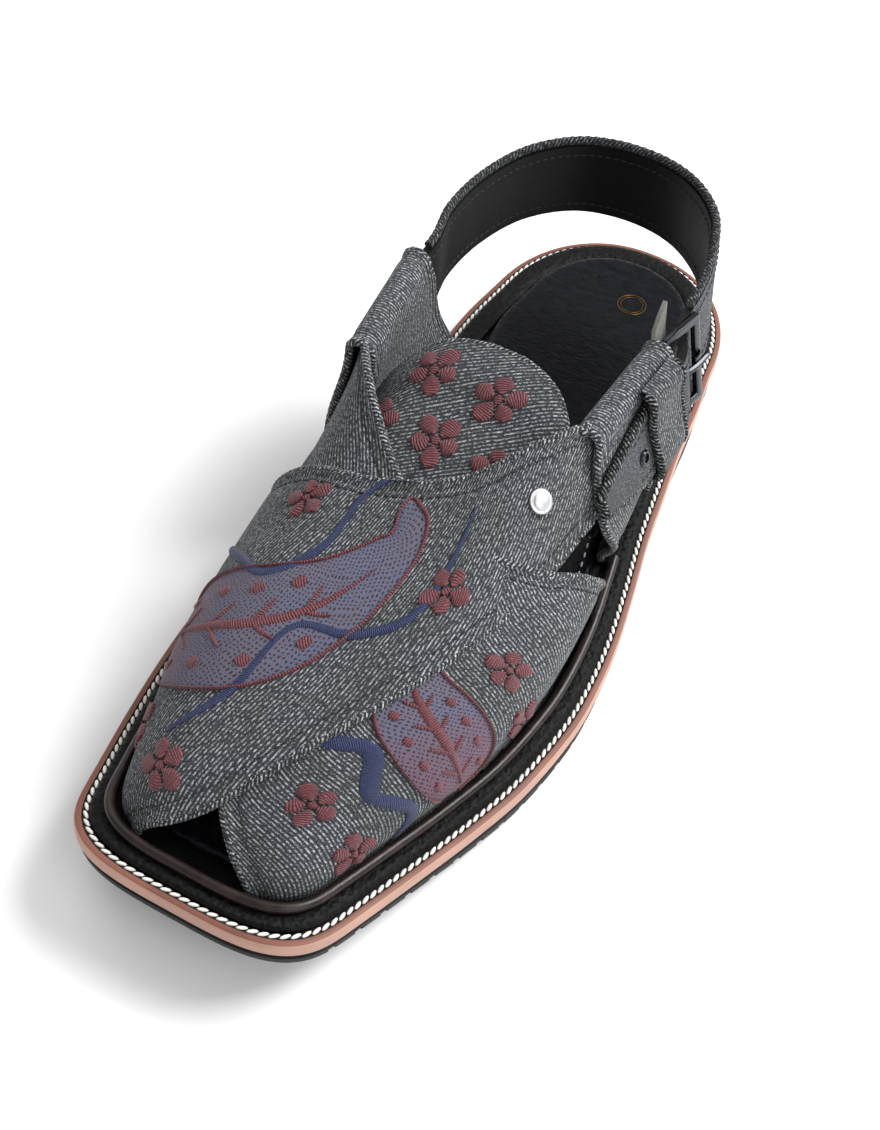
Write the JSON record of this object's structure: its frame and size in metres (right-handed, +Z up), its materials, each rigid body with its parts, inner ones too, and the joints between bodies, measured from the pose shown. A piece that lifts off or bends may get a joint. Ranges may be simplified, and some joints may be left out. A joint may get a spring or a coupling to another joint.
{
  "type": "peshawari chappal",
  "caption": "Open leather-soled sandal with crossed denim forefoot straps, a tongue flap, a squared open toe and a buckled strap round the heel.",
  "frame": {"origin": "centre of the shoe's bounding box, on the floor", "axes": "+Z up, the toe points along -Y, the outer (buckle) side of this left shoe is +X"},
  "size_m": [0.1168, 0.31, 0.0872],
  "materials": {
    "outsole": "matte black moulded rubber",
    "midsole": "tan sole leather, burnished edge",
    "rand": "black grained leather, low sheen",
    "piping": "dark brown rolled leather, satin",
    "insole": "black grained padded footbed, satin",
    "upper": "dark twill denim with raised embroidery",
    "tongue": "dark twill denim with raised embroidery",
    "heel_strap": "dark twill denim, smooth black lining",
    "strap_piping": "twisted twill cord",
    "buckle": "dark gunmetal, satin",
    "buckle_chape": "black leather, matte",
    "keeper": "dark twill denim, folded",
    "guard_tab": "grey felt",
    "eyelet": "dark metal ring",
    "stud": "polished plain stud"
  },
  "bodies": {
    "root": {"outsole": "outsole", "midsole": "midsole", "rand": "rand", "piping": "piping", "insole": "insole", "upper": "upper", "tongue": "tongue", "heel_strap": "heel_strap", "strap_piping": "strap_piping", "buckle_frame": "buckle", "buckle_prong": "buckle", "buckle_chape": "buckle_chape", "keeper": "keeper", "guard_tab": "guard_tab", "strap_eyelet": "eyelet", "strap_stud": "stud"}
  },
  "joints": []
}
